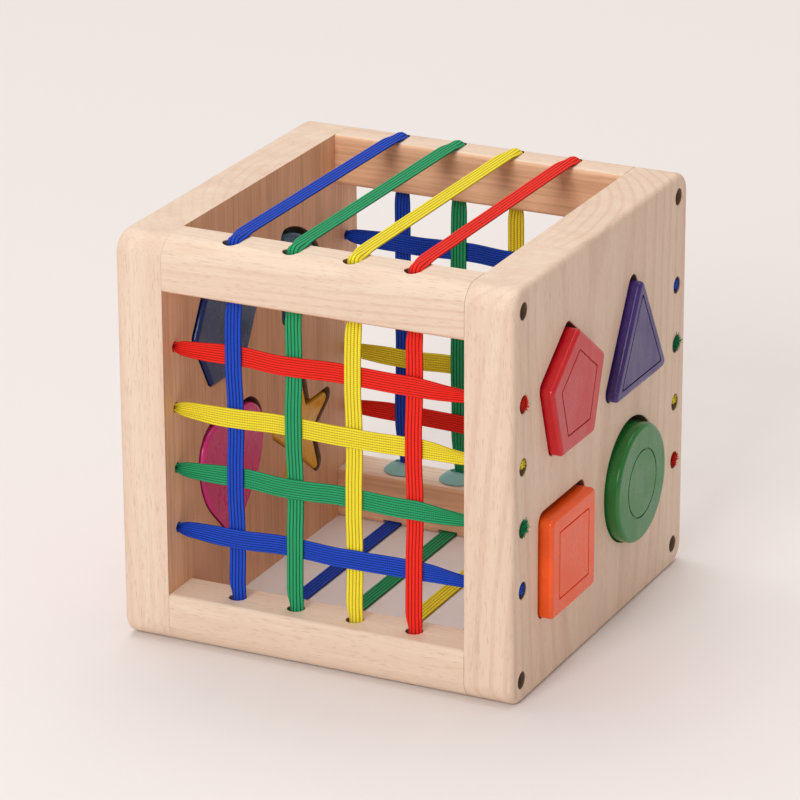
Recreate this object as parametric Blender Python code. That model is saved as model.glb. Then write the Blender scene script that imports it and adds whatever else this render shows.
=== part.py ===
"""A wooden shape-sorting cube: two thick side panels, four rails, elastic straps woven across the
open sides, and eight painted blocks that push through matching openings in the panels.

Frame: X runs from the left panel to the right one, Y from front to back, Z up. The origin is at the
bottom centre of the cube. All sizes are in metres.
"""

import math

import bmesh
import bpy

# ---------------------------------------------------------------- the wooden frame
WIDTH = 0.150  # outer face of one panel to outer face of the other
DEPTH = 0.150  # front to back
HEIGHT = 0.150
PANEL_T = 0.018  # thickness of a side panel
RAIL_DEPTH = 0.018  # of a rail, front to back
RAIL_HEIGHT = 0.019
CORNER_R = 0.008  # corners of the cube, seen from the side
EDGE_R = 0.0025  # rounding of the outer edges
SEAM_R = 0.0005  # easing of a panel's inner edge, where the rails butt against it
GAP = 0.0003  # kept between pieces that touch

# ---------------------------------------------------------------- the rail screws
SCREW_D = 0.0034
SCREW_HEAD_D = 0.0054
SCREW_HEAD_H = 0.0022
SCREW_INSET = 0.0083  # screw axis to the outer faces of the cube
RECESS_CLEAR = 0.0004  # around a screw head
RECESS_DEPTH = 0.007
SCREW_TIP_CLEAR = 0.006  # wood left between a screw's tip and the first strap hole

# ---------------------------------------------------------------- the elastic straps
STRAPS_EACH_WAY = 4
LOOP_W = 0.0064  # of the straps that run round the cube
BAND_W = 0.0072  # of the level straps, which are stretched less
STRAP_T = 0.0012
STRAP_INSET = 0.0086  # strap plane to the front or rear face
STRAP_CHAMFER = 0.00025  # along the edges of a flat strap
GATHERED_W = 0.0048  # of a loop strap where it is drawn in by a hole or a collar
STRAP_HOLE_CLEAR = 0.0006  # between a gathered strap's corners and its hole in a rail
LOOP_SPREAD = 0.0080  # over which a loop strap opens out from a hole to full width
LOOP_BEND_R = 0.0020  # of the turn from a hole on to the top or the bottom of the cube
CHANNEL_CLEAR = 0.0006  # beside a strap in the groove under a bottom rail
FLOOR_CLEAR = 0.0002  # from a strap under the cube to the floor
WEAVE_GAP = 0.0003  # between two straps where they cross
LEVEL_SHARE = 0.8  # of the weave's depth that the level straps take up by bending
CROSSING_SPARE = 0.0010  # how far a strap stays flat past the edge of the one it crosses
KNOT_D = 0.0054
KNOT_LENGTH = 0.0060
KNOT_CLEAR = 0.0004  # around a knot in its bore
KNOT_BORE_DEPTH = 0.0085
CORD_W = 0.0030  # a strap squeezed into its hole, up and down
CORD_T = 0.0024  # and front to back
CORD_CLEAR = 0.0003
TAPER_LENGTH = 0.0145  # over which a strap opens out from its hole to full width

# ---------------------------------------------------------------- the collars on the rear rail
COLLAR_D = 0.0152
COLLAR_RISE = 0.0030
COLLAR_CLEAR = 0.0004  # around the strap that passes through
COLLAR_TAPER = 0.016  # height over which the strap draws in above a collar

# ---------------------------------------------------------------- the blocks and their openings
BLOCK_T = 0.022  # thickness of every block
BLOCK_CLEAR = 0.0012  # between a centred block and its opening
BLOCK_EDGE_R = 0.0020

SQUARE_SIDE = 0.0368
CIRCLE_R = 0.0217
PENTAGON_R = 0.0234
TRIANGLE_SIDE = 0.0475
HEXAGON_R = 0.0237
QUARTER_R = 0.0346
HEART_W = 0.0464
HEART_LOBE_R = 0.0115
HEART_SIDE_R = 0.028
HEART_DIP = 0.0081
STAR_R = 0.0290
STAR_INNER_R = 0.0104
STAR_INNER_FILLET = 0.0020
SOFT_CORNER_R = 0.0026  # of the square, triangle, quarter circle and heart
CRISP_CORNER_R = 0.0022  # of the pentagon, hexagon and star

ARC_DEPARTURE = 0.00012  # of a flat facet from the arc it stands for
HOLE_SIDES = 10

# ---------------------------------------------------------------- values that follow from the sizes
INNER_WIDTH = WIDTH - 2 * PANEL_T
INNER_HEIGHT = HEIGHT - 2 * RAIL_HEIGHT
STRAP_Y = DEPTH / 2 - STRAP_INSET
PITCH_X = INNER_WIDTH / (STRAPS_EACH_WAY + 1)
PITCH_Z = INNER_HEIGHT / (STRAPS_EACH_WAY + 1)
STRAP_HOLE_R = math.hypot(GATHERED_W, STRAP_T) / 2 + STRAP_HOLE_CLEAR
LEVEL_LIFT = (STRAP_T + WEAVE_GAP) * LEVEL_SHARE
LOOP_LIFT = (STRAP_T + WEAVE_GAP) * (1 - LEVEL_SHARE)
CROSSING_HALF = max(LOOP_W, BAND_W) / 2 + CROSSING_SPARE
CHANNEL_DEPTH = FLOOR_CLEAR + STRAP_T + GAP
HEAD_SEAT_X = WIDTH / 2 - RECESS_DEPTH
SCREW_TIP_X = PITCH_X * (STRAPS_EACH_WAY - 1) / 2 + STRAP_HOLE_R + SCREW_TIP_CLEAR
KNOT_SEAT_X = WIDTH / 2 - KNOT_BORE_DEPTH

STRAP_COLOURS = {
    "blue": (0.020, 0.065, 0.50),
    "green": (0.020, 0.38, 0.13),
    "yellow": (0.92, 0.68, 0.02),
    "red": (0.90, 0.015, 0.012),
}
LOOPS = ("blue", "green", "yellow", "red")  # left to right
FRONT_BANDS = ("red", "yellow", "green", "blue")  # top to bottom
REAR_BANDS = ("blue", "green", "yellow", "red")


# ================================================================ small helpers


def clear_scene():
    for item in list(bpy.data.objects):
        bpy.data.objects.remove(item, do_unlink=True)


def material(name, colour, roughness, metallic=0.0):
    made = bpy.data.materials.get(name) or bpy.data.materials.new(name)
    made.use_nodes = True
    shader = made.node_tree.nodes["Principled BSDF"]
    shader.inputs["Base Color"].default_value = (*colour, 1.0)
    shader.inputs["Roughness"].default_value = roughness
    shader.inputs["Metallic"].default_value = metallic
    return made


def add_loft(mesh, rings, closed=False):
    """Skins a row of rings that have the same number of points; caps the ends unless it is closed."""
    rows = [[mesh.verts.new(point) for point in ring] for ring in rings]
    pairs = list(zip(rows, rows[1:]))
    if closed:
        pairs.append((rows[-1], rows[0]))
    for first, second in pairs:
        count = len(first)
        for i in range(count):
            j = (i + 1) % count
            mesh.faces.new((first[i], first[j], second[j], second[i]))
    if not closed:
        mesh.faces.new(rows[0])
        mesh.faces.new(rows[-1])


def add_object(name, mesh, look=None, location=(0, 0, 0), smooth=False):
    """Turns a bmesh into an object with its faces pointing out."""
    bmesh.ops.recalc_face_normals(mesh, faces=mesh.faces)
    data = bpy.data.meshes.new(name)
    mesh.to_mesh(data)
    mesh.free()
    if look:
        data.materials.append(look)
    if smooth:
        data.shade_smooth()
        data.set_sharp_from_angle(angle=math.radians(35))
    made = bpy.data.objects.new(name, data)
    made.location = location
    bpy.context.scene.collection.objects.link(made)
    return made


def cut(target, mesh):
    """Takes the shapes in a bmesh out of an object, with a hidden cutter and a Boolean."""
    cutter = add_object(target.name + "_cutter", mesh)
    cutter.hide_render = True
    cutter.display_type = "WIRE"
    boolean = target.modifiers.new("openings", "BOOLEAN")
    boolean.operation = "DIFFERENCE"
    boolean.solver = "EXACT"
    boolean.object = cutter


def spread(count, pitch):
    """Places of a centred row: count values, pitch apart."""
    return [(i - (count - 1) / 2) * pitch for i in range(count)]


# ================================================================ outlines
# An outline is a list of (a, b, na, nb): a point and the direction that points straight out of it,
# so that the outline can be moved out or in by a distance without changing its corners' centres.


def arc(a, b, radius, start, end, outward=1):
    step = 2 * math.acos(1 - ARC_DEPARTURE / radius)
    steps = max(2, math.ceil(abs(end - start) / step))
    points = []
    for i in range(steps + 1):
        angle = start + (end - start) * i / steps
        ca, sa = math.cos(angle), math.sin(angle)
        points.append((a + radius * ca, b + radius * sa, outward * ca, outward * sa))
    return points


def rounded_polygon(corners, radii):
    """A polygon that runs anticlockwise, with each corner replaced by an arc."""
    outline = []
    count = len(corners)
    for i, (a, b) in enumerate(corners):
        before = corners[i - 1]
        after = corners[(i + 1) % count]
        heading_in = math.atan2(b - before[1], a - before[0])
        heading_out = math.atan2(after[1] - b, after[0] - a)
        turn = (heading_out - heading_in + math.pi) % (2 * math.pi) - math.pi
        side = 1 if turn > 0 else -1
        radius = radii[i]
        reach = radius / math.cos(turn / 2)
        towards = heading_in + turn / 2 + side * math.pi / 2
        ca = a + reach * math.cos(towards)
        cb = b + reach * math.sin(towards)
        first = heading_in - side * math.pi / 2
        outline += arc(ca, cb, radius, first, first + turn, side)
    return outline


def moved_out(outline, distance):
    """The outline as plain points, pushed outwards by a distance, or inwards if it is negative."""
    return [(a + na * distance, b + nb * distance) for a, b, na, nb in outline]


def regular(count, radius, start, corner_r):
    angles = [start + 2 * math.pi * i / count for i in range(count)]
    corners = [(radius * math.cos(t), radius * math.sin(t)) for t in angles]
    return rounded_polygon(corners, [corner_r] * count)


def square_outline():
    return regular(4, SQUARE_SIDE / math.sqrt(2), math.pi / 4, SOFT_CORNER_R)


def circle_outline():
    return arc(0, 0, CIRCLE_R, 0, 2 * math.pi)[:-1]


def pentagon_outline():
    return regular(5, PENTAGON_R, math.pi / 2, CRISP_CORNER_R)


def triangle_outline():
    return regular(3, TRIANGLE_SIDE / math.sqrt(3), math.pi / 2, SOFT_CORNER_R)


def hexagon_outline():
    return regular(6, HEXAGON_R, 0, CRISP_CORNER_R)


def quarter_outline():
    """A quarter of a disc with its right angle at the bottom front; its corners are rounded."""
    small = SOFT_CORNER_R
    along = math.sqrt((QUARTER_R - small) ** 2 - small**2)
    lean = math.asin(small / (QUARTER_R - small))
    points = arc(small, small, small, math.pi, 1.5 * math.pi)
    points += arc(along, small, small, -math.pi / 2, lean)
    points += arc(0, 0, QUARTER_R, lean, math.pi / 2 - lean)[1:-1]
    points += arc(small, along, small, math.pi / 2 - lean, math.pi)
    half = QUARTER_R / 2
    return [(a - half, b - half, na, nb) for a, b, na, nb in points]


def heart_outline():
    """Two lobes over straight sides that meet in a right angle at the tip."""
    half = HEART_W / 2
    lobe_reach = HEART_LOBE_R * (1 + math.tan(math.radians(27.5)))
    top = half
    shoulder = -0.02 * HEART_W
    right = [(half, shoulder), (half, top), (half - lobe_reach, top)]
    left = [(-a, b) for a, b in reversed(right)]
    corners = [(0, shoulder - half), *right, (0, top - HEART_DIP), *left]
    radii = [
        SOFT_CORNER_R,
        HEART_SIDE_R,
        HEART_LOBE_R,
        HEART_LOBE_R,
        BLOCK_CLEAR + GAP,
        HEART_LOBE_R,
        HEART_LOBE_R,
        HEART_SIDE_R,
    ]
    return rounded_polygon(corners, radii)


def star_outline():
    corners = []
    for i in range(10):
        radius = STAR_R if i % 2 == 0 else STAR_INNER_R
        angle = math.pi / 2 + math.pi * i / 5
        corners.append((radius * math.cos(angle), radius * math.sin(angle)))
    return rounded_polygon(corners, [CRISP_CORNER_R, STAR_INNER_FILLET] * 5)


# Each block: outline, panel side, -1 for the front place of its row or 1 for the rear one, share of
# the row's free wood that lies between its opening and the strap bores, height of its opening's
# centre above the panel's middle, how far it stands out of the panel, and its colour.
BLOCKS = {
    "pentagon_block": (pentagon_outline, 1, -1, 0.2874, 0.0272, 0.0045, (0.72, 0.012, 0.016)),
    "triangle_block": (triangle_outline, 1, 1, 0.4179, 0.0243, 0.0038, (0.070, 0.030, 0.22)),
    "square_block": (square_outline, 1, -1, 0.2284, -0.0304, 0.0048, (0.83, 0.12, 0.015)),
    "circle_block": (circle_outline, 1, 1, 0.3582, -0.0261, 0.0048, (0.015, 0.19, 0.045)),
    "hexagon_block": (hexagon_outline, -1, -1, 0.2276, 0.0318, 0.0027, (0.010, 0.045, 0.17)),
    "quarter_block": (quarter_outline, -1, 1, 0.3083, 0.0324, 0.0040, (0.020, 0.13, 0.20)),
    "heart_block": (heart_outline, -1, -1, 0.4064, -0.0276, 0.0028, (0.75, 0.055, 0.28)),
    "star_block": (star_outline, -1, 1, 0.3732, -0.0304, 0.0048, (0.80, 0.42, 0.015)),
}


def depth_of(shape):
    """Nearest and furthest Y of an outline about its own centre."""
    ys = [point[0] for point in shape()]
    return min(ys), max(ys)


def opening_centres():
    """(y, z) of each opening: the wood left over in a row is shared out beside and between the two."""
    limit = STRAP_Y - KNOT_D / 2 - KNOT_CLEAR
    centres = {}
    for name, (shape, side, back, share, z, _, _) in BLOCKS.items():
        free = 2 * limit
        for other, other_side, _, _, other_z, _, _ in BLOCKS.values():
            if other_side == side and (other_z > 0) == (z > 0):
                low, high = depth_of(other)
                free -= high - low + 2 * BLOCK_CLEAR
        low, high = depth_of(shape)
        reach = high if back > 0 else -low
        centres[name] = (back * (limit - share * free - BLOCK_CLEAR - reach), z)
    return centres


# ================================================================ the wooden frame


def ring_at_x(x, points):
    return [(x, y, z) for y, z in points]


def add_plug(mesh, x_from, x_to, y, z, steps):
    """A round cutter along X, from one x to another, whose radius changes at the given steps."""
    rings = []
    places = [x_from, *[x for x, _ in steps[1:] for _ in (0, 1)], x_to]
    radii = [radius for _, radius in steps for _ in (0, 1)]
    for x, radius in zip(places, radii):
        angles = [2 * math.pi * (i + 0.5) / HOLE_SIDES for i in range(HOLE_SIDES)]
        ring = [(y + radius * math.cos(t), z + radius * math.sin(t)) for t in angles]
        rings.append(ring_at_x(x, ring))
    add_loft(mesh, rings)


def screw_places():
    """(y, z) of the four screws in a panel."""
    y = DEPTH / 2 - SCREW_INSET
    return [(side * y, z) for side in (-1, 1) for z in (SCREW_INSET, HEIGHT - SCREW_INSET)]


def band_heights():
    """Heights of the horizontal straps, top to bottom."""
    return [HEIGHT / 2 + z for z in reversed(spread(STRAPS_EACH_WAY, PITCH_Z))]


def panel_outline():
    y, z = DEPTH / 2, HEIGHT / 2
    corners = [(y, -z), (y, z), (-y, z), (-y, -z)]
    return rounded_polygon(corners, [CORNER_R] * 4)


def side_panel(name, side, look):
    """A panel with its four shape openings, strap holes and screw recesses."""
    outline = panel_outline()
    outer = side * WIDTH / 2
    inner = side * (WIDTH / 2 - PANEL_T)
    eased = EDGE_R * (1 - math.sqrt(0.5))
    levels = [
        (outer, EDGE_R),
        (outer - side * eased, eased),
        (outer - side * EDGE_R, 0),
        (inner + side * SEAM_R, 0),
        (inner, SEAM_R),
    ]
    rings = []
    for x, inset in levels:
        points = [(y, z + HEIGHT / 2) for y, z in moved_out(outline, -inset)]
        rings.append(ring_at_x(x, points))
    mesh = bmesh.new()
    add_loft(mesh, rings)
    panel = add_object(name, mesh, look)

    past = 0.002
    start = inner - side * past
    end = outer + side * past
    openings = bmesh.new()
    for block_name, (y, z) in opening_centres().items():
        shape, shape_side = BLOCKS[block_name][:2]
        if shape_side == side:
            points = [(a + y, b + z + HEIGHT / 2) for a, b in moved_out(shape(), BLOCK_CLEAR)]
            add_loft(openings, [ring_at_x(start, points), ring_at_x(end, points)])
    for y, z in screw_places():
        head = SCREW_HEAD_D / 2 + RECESS_CLEAR
        steps = [(start, SCREW_D / 2 + GAP), (side * HEAD_SEAT_X, head)]
        add_plug(openings, start, end, y, z, steps)
    for y in (-STRAP_Y, STRAP_Y):
        for z in band_heights():
            knot = KNOT_D / 2 + KNOT_CLEAR
            steps = [(start, CORD_W / 2 + CORD_CLEAR), (side * KNOT_SEAT_X, knot)]
            add_plug(openings, start, end, y, z, steps)
    cut(panel, openings)
    return panel


def rail_outline(back, top):
    """Section of a rail, anticlockwise: its outer corner follows the panels, the others are eased."""
    y_out = back * DEPTH / 2
    y_in = back * (DEPTH / 2 - RAIL_DEPTH)
    z_out = HEIGHT if top > 0 else 0
    z_in = z_out - top * RAIL_HEIGHT
    corners = [(y_out, z_out), (y_in, z_out), (y_in, z_in), (y_out, z_in)]
    radii = [CORNER_R, EDGE_R, EDGE_R, EDGE_R]
    if back * top < 0:
        corners.reverse()
        radii.reverse()
    return moved_out(rounded_polygon(corners, radii), 0)


def add_strap_hole(mesh, x, y, z_from, z_to):
    """A round hole, drilled straight down through a rail."""
    points = arc(x, y, STRAP_HOLE_R, 0, 2 * math.pi)[:-1]
    rings = [[(a, b, z) for a, b, _, _ in points] for z in (z_from, z_to)]
    add_loft(mesh, rings)


def add_box(mesh, low, high):
    corners = [(low[0], low[1]), (high[0], low[1]), (high[0], high[1]), (low[0], high[1])]
    add_loft(mesh, [[(x, y, z) for x, y in corners] for z in (low[2], high[2])])


def rail(name, back, top, look):
    """A rail between the panels, with strap holes and, in its ends, holes for the screws."""
    half = INNER_WIDTH / 2 - GAP
    points = rail_outline(back, top)
    mesh = bmesh.new()
    add_loft(mesh, [ring_at_x(-half, points), ring_at_x(half, points)])
    made = add_object(name, mesh, look)

    past = 0.002
    z_low = HEIGHT - RAIL_HEIGHT if top > 0 else 0
    z_high = z_low + RAIL_HEIGHT
    y = back * STRAP_Y
    cuts = bmesh.new()
    for x in spread(STRAPS_EACH_WAY, PITCH_X):
        add_strap_hole(cuts, x, y, z_low - past, z_high + past)
    screw_z = HEIGHT - SCREW_INSET if top > 0 else SCREW_INSET
    screw_y = back * (DEPTH / 2 - SCREW_INSET)
    hole = [(0, SCREW_D / 2 + GAP)]
    for side in (-1, 1):
        start = side * (SCREW_TIP_X - GAP)
        add_plug(cuts, start, side * (half + past), screw_y, screw_z, hole)
    cut(made, cuts)
    if top < 0:
        groove_under(made, back)
    return made


def groove_under(bottom_rail, back):
    """Grooves under a bottom rail, so that the straps don't lift the cube off a table."""
    past = 0.002
    half = LOOP_W / 2 + CHANNEL_CLEAR
    ends = sorted((back * STRAP_Y, back * (DEPTH / 2 - RAIL_DEPTH - past)))
    grooves = bmesh.new()
    for x in spread(STRAPS_EACH_WAY, PITCH_X):
        add_box(grooves, (x - half, ends[0], -past), (x + half, ends[1], CHANNEL_DEPTH))
    cutter = add_object(bottom_rail.name + "_groove_cutter", grooves)
    cutter.hide_render = True
    cutter.display_type = "WIRE"
    boolean = bottom_rail.modifiers.new("grooves", "BOOLEAN")
    boolean.operation = "DIFFERENCE"
    boolean.solver = "EXACT"
    boolean.object = cutter


def screw(name, side, y, z, look):
    """A round-headed screw along X, its head at the bottom of a recess, its tip in the rail."""
    seat = HEAD_SEAT_X + GAP
    profile = [
        (seat + SCREW_HEAD_H, SCREW_HEAD_D * 0.30),
        (seat + SCREW_HEAD_H * 0.65, SCREW_HEAD_D / 2),
        (seat, SCREW_HEAD_D / 2),
        (seat, SCREW_D / 2),
        (SCREW_TIP_X + SCREW_D, SCREW_D / 2),
        (SCREW_TIP_X + GAP, SCREW_D * 0.12),
    ]
    rings = []
    for x, radius in profile:
        angles = [2 * math.pi * (i + 0.5) / HOLE_SIDES for i in range(HOLE_SIDES)]
        points = [(radius * math.cos(t), radius * math.sin(t)) for t in angles]
        rings.append(ring_at_x(side * (x - seat), points))
    mesh = bmesh.new()
    add_loft(mesh, rings)
    return add_object(name, mesh, look, (side * seat, y, z), smooth=True)


# ================================================================ the elastic straps


def strap_section(half_w, half_t, chamfer):
    """Eight points round a strap, across its width and its thickness."""
    w, t = half_w - chamfer, half_t - chamfer
    quarter = [(half_w, t), (w, half_t)]
    upper = quarter + [(-a, b) for a, b in reversed(quarter)]
    return upper + [(-a, -b) for a, b in upper]


def round_chamfer(half):
    return half * (2 - math.sqrt(2))


def weave_side(row, column):
    """+1 where the upright strap passes outside the level one, -1 where it passes inside."""
    return 1 if (row + column) % 2 == 0 else -1


def band(name, back, row, look):
    """A level strap: knotted in one panel, woven past the loops, knotted in the other panel."""
    flat = (BAND_W / 2, STRAP_T / 2, STRAP_CHAMFER)
    cord = (CORD_W / 2, CORD_T / 2, round_chamfer(CORD_T / 2))
    knot = (KNOT_D / 2, KNOT_D / 2, round_chamfer(KNOT_D / 2))
    seat = KNOT_SEAT_X + GAP
    hole_mouth = WIDTH / 2 - PANEL_T
    opened = hole_mouth - TAPER_LENGTH

    def blend(share):
        return tuple(a + (b - a) * share for a, b in zip(cord, flat))

    end = [
        (seat + KNOT_LENGTH, tuple(v * 0.5 for v in knot)),
        (seat + KNOT_LENGTH * 0.75, tuple(v * 0.94 for v in knot)),
        (seat + KNOT_LENGTH * 0.25, knot),
        (seat, tuple(v * 0.8 for v in knot)),
        (seat - GAP, cord),
        (hole_mouth, cord),
        (hole_mouth - TAPER_LENGTH * 0.35, blend(0.65)),
        (opened, flat),
    ]
    stations = [(-x, 0.0, size) for x, size in end]
    for column, x in enumerate(spread(STRAPS_EACH_WAY, PITCH_X)):
        # The level strap takes the side of the strap plane that the upright one leaves free.
        shift = -back * weave_side(row, column) * LEVEL_LIFT
        stations.append((x - CROSSING_HALF, shift, flat))
        stations.append((x + CROSSING_HALF, shift, flat))
    stations += [(x, 0.0, size) for x, size in reversed(end)]

    rings = []
    for x, shift, size in stations:
        rings.append([(x, shift + t, w) for w, t in strap_section(*size)])
    mesh = bmesh.new()
    add_loft(mesh, rings)
    place = (0, back * STRAP_Y, band_heights()[row])
    return add_object(name, mesh, look, place, smooth=True)


def loop_route(column):
    """(y, z, width) round a loop strap: down the front, back underneath, up the rear, over the top."""
    y = STRAP_Y
    bend = LOOP_BEND_R
    spread_y = y - bend - LOOP_SPREAD
    low = FLOOR_CLEAR + STRAP_T / 2
    high = HEIGHT + GAP + STRAP_T / 2
    collar_top = RAIL_HEIGHT + GAP + COLLAR_RISE
    narrow = GATHERED_W
    route = []

    def corner(y_centre, z_centre, start):
        for i in range(4):
            angle = math.radians(start + 30 * i)
            place = (y_centre + bend * math.cos(angle), z_centre + bend * math.sin(angle))
            route.append((*place, narrow))

    def crossings(back, rows, width_at):
        for row, z in rows:
            place = back * (y + weave_side(row, column) * LOOP_LIFT)
            for along in (-CROSSING_HALF, CROSSING_HALF):
                height = z + back * along
                route.append((place, height, width_at(height)))

    def opened(distance, length):
        return narrow + (LOOP_W - narrow) * min(1.0, max(0.0, distance / length))

    def front_width(z):
        return opened(min(HEIGHT - RAIL_HEIGHT - z, z - RAIL_HEIGHT), LOOP_SPREAD)

    def rear_width(z):
        from_top = opened(HEIGHT - RAIL_HEIGHT - z, LOOP_SPREAD)
        return min(from_top, opened(z - collar_top, COLLAR_TAPER))

    rows = list(enumerate(band_heights()))
    route.append((-spread_y, high, LOOP_W))
    corner(-y + bend, high - bend, 90)
    route.append((-y, HEIGHT - RAIL_HEIGHT, narrow))
    route.append((-y, HEIGHT - RAIL_HEIGHT - LOOP_SPREAD, LOOP_W))
    crossings(-1, rows, front_width)
    route.append((-y, RAIL_HEIGHT + LOOP_SPREAD, LOOP_W))
    route.append((-y, RAIL_HEIGHT, narrow))
    corner(-y + bend, low + bend, 180)
    route.append((-spread_y, low, LOOP_W))
    route.append((spread_y, low, LOOP_W))
    corner(y - bend, low + bend, 270)
    route.append((y, collar_top, narrow))
    crossings(1, list(reversed(rows)), rear_width)
    route.append((y, HEIGHT - RAIL_HEIGHT - LOOP_SPREAD, LOOP_W))
    route.append((y, HEIGHT - RAIL_HEIGHT, narrow))
    corner(y - bend, high - bend, 0)
    route.append((spread_y, high, LOOP_W))
    return route


def loop_strap(name, column, look):
    """An endless strap through holes in all four rails."""
    route = loop_route(column)
    count = len(route)
    rings = []
    for i, (y, z, width) in enumerate(route):
        before = route[i - 1]
        after = route[(i + 1) % count]
        heading_in = math.atan2(z - before[1], y - before[0])
        heading_out = math.atan2(after[1] - z, after[0] - y)
        turn = (heading_out - heading_in + math.pi) % (2 * math.pi) - math.pi
        heading = heading_in + turn / 2
        across = (-math.sin(heading), math.cos(heading))
        half = STRAP_T / 2
        ring = []
        for w, t in ((1, 1), (-1, 1), (-1, -1), (1, -1)):
            ring.append((w * width / 2, y + across[0] * t * half, z + across[1] * t * half))
        rings.append(ring)
    mesh = bmesh.new()
    add_loft(mesh, rings, closed=True)
    x = spread(STRAPS_EACH_WAY, PITCH_X)[column]
    return add_object(name, mesh, look, (x, 0, 0))


def collar(name, column, look):
    """A low domed collar on the rear bottom rail, with a slit for the strap."""
    radius = COLLAR_D / 2
    half_w = GATHERED_W / 2 + COLLAR_CLEAR
    half_t = STRAP_T / 2 + COLLAR_CLEAR
    count = 16
    angles = [2 * math.pi * (i + 0.5) / count for i in range(count)]
    circle = [(math.cos(t), math.sin(t)) for t in angles]

    def slit(ca, sa):
        reach = 1 / max(abs(ca) / half_w, abs(sa) / half_t)
        return (ca * reach, sa * reach)

    rings = [[(*slit(*d), 0.0) for d in circle]]
    for share in (1.0, 0.97, 0.72, 0.45):
        height = COLLAR_RISE * math.sqrt(max(0.0, 1 - share**2)) if share < 1 else 0.0
        rings.append([(radius * share * ca, radius * share * sa, height) for ca, sa in circle])
    rings.append([(*slit(*d), COLLAR_RISE) for d in circle])
    mesh = bmesh.new()
    add_loft(mesh, rings, closed=True)
    x = spread(STRAPS_EACH_WAY, PITCH_X)[column]
    place = (x, STRAP_Y, RAIL_HEIGHT + GAP)
    return add_object(name, mesh, look, place, smooth=True)


# ================================================================ the blocks


def block(name, shape, side, centre, proud, look):
    """A block that rests on the bottom of its opening; its origin is at its middle."""
    outline = shape()
    eased = BLOCK_EDGE_R * (1 - math.sqrt(0.5))
    half = BLOCK_T / 2
    one_end = [(half, BLOCK_EDGE_R), (half - eased, eased), (half - BLOCK_EDGE_R, 0)]
    levels = one_end + [(-x, inset) for x, inset in reversed(one_end)]
    rings = [ring_at_x(x, moved_out(outline, -inset)) for x, inset in levels]
    mesh = bmesh.new()
    add_loft(mesh, rings)
    y, z = centre
    drop = BLOCK_CLEAR - GAP
    x = side * (WIDTH / 2 + proud - half)
    return add_object(name, mesh, look, (x, y, HEIGHT / 2 + z - drop), smooth=True)


# ================================================================ the whole object


def build():
    clear_scene()
    wood = material("rubberwood", (0.78, 0.60, 0.44), 0.55)
    steel = material("screw_steel", (0.45, 0.42, 0.38), 0.35, 1.0)
    teal = material("collar_teal", (0.16, 0.36, 0.33), 0.6)
    straps = {
        colour: material(colour + "_elastic", value, 0.8) for colour, value in STRAP_COLOURS.items()
    }

    side_panel("left_panel", -1, wood)
    side_panel("right_panel", 1, wood)
    for back, back_name in ((-1, "front"), (1, "rear")):
        for top, top_name in ((1, "top"), (-1, "bottom")):
            rail(f"{top_name}_{back_name}_rail", back, top, wood)
            for side, side_name in ((-1, "left"), (1, "right")):
                y = back * (DEPTH / 2 - SCREW_INSET)
                z = HEIGHT - SCREW_INSET if top > 0 else SCREW_INSET
                screw(f"{side_name}_{top_name}_{back_name}_screw", side, y, z, steel)
    for back, where, colours in ((-1, "front", FRONT_BANDS), (1, "rear", REAR_BANDS)):
        for row, colour in enumerate(colours):
            band(f"{where}_{colour}_band", back, row, straps[colour])
    for column, colour in enumerate(LOOPS):
        loop_strap(f"{colour}_loop_strap", column, straps[colour])
        collar(f"{colour}_strap_collar", column, teal)
    for name, centre in opening_centres().items():
        shape, side, _, _, _, proud, colour = BLOCKS[name]
        block(name, shape, side, centre, proud, material(name + "_paint", colour, 0.25))


build()
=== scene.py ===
# %% [markdown]
# # A wooden shape-sorting cube
#
# The toy is a cube of pale wood. Two thick side panels carry painted blocks in matching openings,
# four rails hold the panels apart, and coloured elastic straps are woven across the open sides.
# This lesson starts from the engineering model, which fixes where every piece sits, and gives each
# piece the shape and the finish that a close look would show.

# %% Load the engineering model
import math
import random

import bmesh
import bpy
import numpy as np
from mathutils import Matrix, Vector


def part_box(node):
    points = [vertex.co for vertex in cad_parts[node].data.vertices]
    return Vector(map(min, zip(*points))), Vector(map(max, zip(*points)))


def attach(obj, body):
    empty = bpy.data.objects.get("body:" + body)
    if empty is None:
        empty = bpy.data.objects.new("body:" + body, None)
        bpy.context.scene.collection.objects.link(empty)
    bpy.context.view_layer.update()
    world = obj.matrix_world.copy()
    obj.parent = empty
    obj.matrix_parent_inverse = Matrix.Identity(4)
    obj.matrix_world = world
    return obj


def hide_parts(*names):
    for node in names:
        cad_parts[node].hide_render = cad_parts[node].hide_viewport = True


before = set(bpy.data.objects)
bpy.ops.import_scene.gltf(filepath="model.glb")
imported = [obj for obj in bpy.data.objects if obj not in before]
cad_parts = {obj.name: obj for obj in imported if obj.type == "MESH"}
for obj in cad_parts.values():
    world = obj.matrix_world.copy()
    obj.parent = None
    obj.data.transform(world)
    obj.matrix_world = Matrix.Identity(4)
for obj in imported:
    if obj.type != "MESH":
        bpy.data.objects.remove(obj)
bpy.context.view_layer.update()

# %% [markdown]
# ## Sizes
#
# Every place comes from the engineering model, by asking for the box round one of its pieces.
# Only what a box can't tell, such as the radius of a corner, is written down here. Lengths are in
# metres.

# %% Read the sizes from the model
panel_low, panel_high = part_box("right_panel")
WIDTH = 2 * panel_high.x
DEPTH = panel_high.y - panel_low.y
HEIGHT = panel_high.z
PANEL_T = panel_high.x - panel_low.x
rail_low, rail_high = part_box("bottom_front_rail")
RAIL_DEPTH = rail_high.y - rail_low.y
RAIL_HEIGHT = rail_high.z
CORNER_R = 0.008
SEAM = 0.00005  # half of the fine line between a rail and a panel

LOOPS = ("blue", "green", "yellow", "red")
FRONT_BANDS = ("red", "yellow", "green", "blue")
REAR_BANDS = ("blue", "green", "yellow", "red")


def middle(node):
    low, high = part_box(node)
    return (low + high) / 2


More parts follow.
